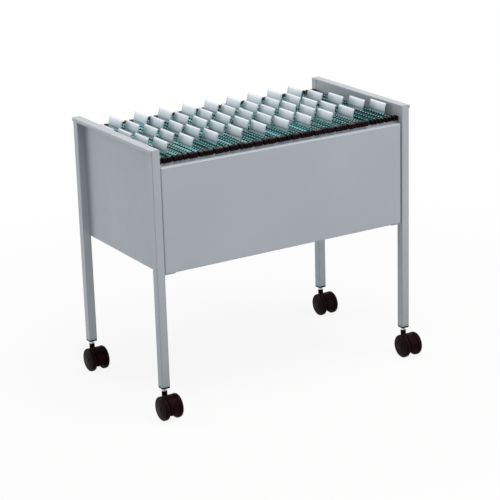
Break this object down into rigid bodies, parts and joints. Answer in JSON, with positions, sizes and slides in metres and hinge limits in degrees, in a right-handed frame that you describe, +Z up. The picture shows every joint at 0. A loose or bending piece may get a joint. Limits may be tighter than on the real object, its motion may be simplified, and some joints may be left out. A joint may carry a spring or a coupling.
{
  "type": "mobile file cart",
  "caption": "Open folded-steel hopper on square-tube legs with twin-wheel casters, loaded with tabbed hanging files that hook over two rails.",
  "frame": {"origin": "on the floor plane, below the centre of the frame of legs and panels", "axes": "+X along the cart toward the loosely filled end, +Y from the front panel to the back panel, +Z up"},
  "size_m": [0.684, 0.404, 0.597],
  "materials": {
    "grey_paint": "satin",
    "zinc": "satin",
    "black_plastic": "satin",
    "wheel_plastic": "satin",
    "teal_card": "matte",
    "dark_bar": "satin",
    "clear_tab": "gloss",
    "white_label": "matte"
  },
  "bodies": {
    "frame": {"front_left_leg": "grey_paint", "front_right_leg": "grey_paint", "back_left_leg": "grey_paint", "back_right_leg": "grey_paint", "left_end_panel": "grey_paint", "right_end_panel": "grey_paint", "front_panel": "grey_paint", "back_panel": "grey_paint", "front_rail": "grey_paint", "back_rail": "grey_paint", "panel_lugs": "grey_paint", "panel_screws": "zinc", "front_left_leg_plug": "black_plastic", "front_left_caster_stem": "zinc", "front_right_leg_plug": "black_plastic", "front_right_caster_stem": "zinc", "back_left_leg_plug": "black_plastic", "back_left_caster_stem": "zinc", "back_right_leg_plug": "black_plastic", "back_right_caster_stem": "zinc"},
    "front_left_caster": {"front_left_caster_body": "black_plastic", "front_left_caster_axle": "zinc"},
    "front_left_left_wheel": {"front_left_caster_left_wheel": "wheel_plastic"},
    "front_left_right_wheel": {"front_left_caster_right_wheel": "wheel_plastic"},
    "front_right_caster": {"front_right_caster_body": "black_plastic", "front_right_caster_axle": "zinc"},
    "front_right_left_wheel": {"front_right_caster_left_wheel": "wheel_plastic"},
    "front_right_right_wheel": {"front_right_caster_right_wheel": "wheel_plastic"},
    "back_left_caster": {"back_left_caster_body": "black_plastic", "back_left_caster_axle": "zinc"},
    "back_left_left_wheel": {"back_left_caster_left_wheel": "wheel_plastic"},
    "back_left_right_wheel": {"back_left_caster_right_wheel": "wheel_plastic"},
    "back_right_caster": {"back_right_caster_body": "black_plastic", "back_right_caster_axle": "zinc"},
    "back_right_left_wheel": {"back_right_caster_left_wheel": "wheel_plastic"},
    "back_right_right_wheel": {"back_right_caster_right_wheel": "wheel_plastic"},
    "file_set_1": {"card_pockets_1": "teal_card", "hanger_bars_1": "dark_bar", "index_tabs_1": "clear_tab", "tab_labels_1": "white_label"},
    "file_set_2": {"card_pockets_2": "teal_card", "hanger_bars_2": "dark_bar", "index_tabs_2": "clear_tab", "tab_labels_2": "white_label"},
    "file_set_3": {"card_pockets_3": "teal_card", "hanger_bars_3": "dark_bar", "index_tabs_3": "clear_tab", "tab_labels_3": "white_label"},
    "file_set_4": {"card_pockets_4": "teal_card", "hanger_bars_4": "dark_bar", "index_tabs_4": "clear_tab", "tab_labels_4": "white_label"},
    "file_set_5": {"card_pockets_5": "teal_card", "hanger_bars_5": "dark_bar", "index_tabs_5": "clear_tab", "tab_labels_5": "white_label"}
  },
  "joints": [
    {"name": "front_left_swivel", "type": "hinge", "parent": "frame", "child": "front_left_caster", "pos_m": [-0.3185, -0.174, 0.0588], "axis": [0, 0, 1], "continuous": true},
    {"name": "front_left_left_roll", "type": "hinge", "parent": "front_left_caster", "child": "front_left_left_wheel", "pos_m": [-0.3185, -0.1935, 0.027], "axis": [1, 0, 0], "continuous": true},
    {"name": "front_left_right_roll", "type": "hinge", "parent": "front_left_caster", "child": "front_left_right_wheel", "pos_m": [-0.3185, -0.1935, 0.027], "axis": [1, 0, 0], "continuous": true},
    {"name": "front_right_swivel", "type": "hinge", "parent": "frame", "child": "front_right_caster", "pos_m": [0.3185, -0.174, 0.0588], "axis": [0, 0, 1], "continuous": true},
    {"name": "front_right_left_roll", "type": "hinge", "parent": "front_right_caster", "child": "front_right_left_wheel", "pos_m": [0.3185, -0.1935, 0.027], "axis": [1, 0, 0], "continuous": true},
    {"name": "front_right_right_roll", "type": "hinge", "parent": "front_right_caster", "child": "front_right_right_wheel", "pos_m": [0.3185, -0.1935, 0.027], "axis": [1, 0, 0], "continuous": true},
    {"name": "back_left_swivel", "type": "hinge", "parent": "frame", "child": "back_left_caster", "pos_m": [-0.3185, 0.174, 0.0588], "axis": [0, 0, 1], "continuous": true},
    {"name": "back_left_left_roll", "type": "hinge", "parent": "back_left_caster", "child": "back_left_left_wheel", "pos_m": [-0.3185, 0.1545, 0.027], "axis": [1, 0, 0], "continuous": true},
    {"name": "back_left_right_roll", "type": "hinge", "parent": "back_left_caster", "child": "back_left_right_wheel", "pos_m": [-0.3185, 0.1545, 0.027], "axis": [1, 0, 0], "continuous": true},
    {"name": "back_right_swivel", "type": "hinge", "parent": "frame", "child": "back_right_caster", "pos_m": [0.3185, 0.174, 0.0588], "axis": [0, 0, 1], "continuous": true},
    {"name": "back_right_left_roll", "type": "hinge", "parent": "back_right_caster", "child": "back_right_left_wheel", "pos_m": [0.3185, 0.1545, 0.027], "axis": [1, 0, 0], "continuous": true},
    {"name": "back_right_right_roll", "type": "hinge", "parent": "back_right_caster", "child": "back_right_right_wheel", "pos_m": [0.3185, 0.1545, 0.027], "axis": [1, 0, 0], "continuous": true},
    {"name": "file_set_1_lift", "type": "slide", "parent": "frame", "child": "file_set_1", "axis": [0, 0, 1], "range_m": [0, 0.27]},
    {"name": "file_set_2_lift", "type": "slide", "parent": "frame", "child": "file_set_2", "axis": [0, 0, 1], "range_m": [0, 0.27]},
    {"name": "file_set_3_lift", "type": "slide", "parent": "frame", "child": "file_set_3", "axis": [0, 0, 1], "range_m": [0, 0.27]},
    {"name": "file_set_4_lift", "type": "slide", "parent": "frame", "child": "file_set_4", "axis": [0, 0, 1], "range_m": [0, 0.27]},
    {"name": "file_set_5_lift", "type": "slide", "parent": "frame", "child": "file_set_5", "axis": [0, 0, 1], "range_m": [0, 0.27]}
  ]
}
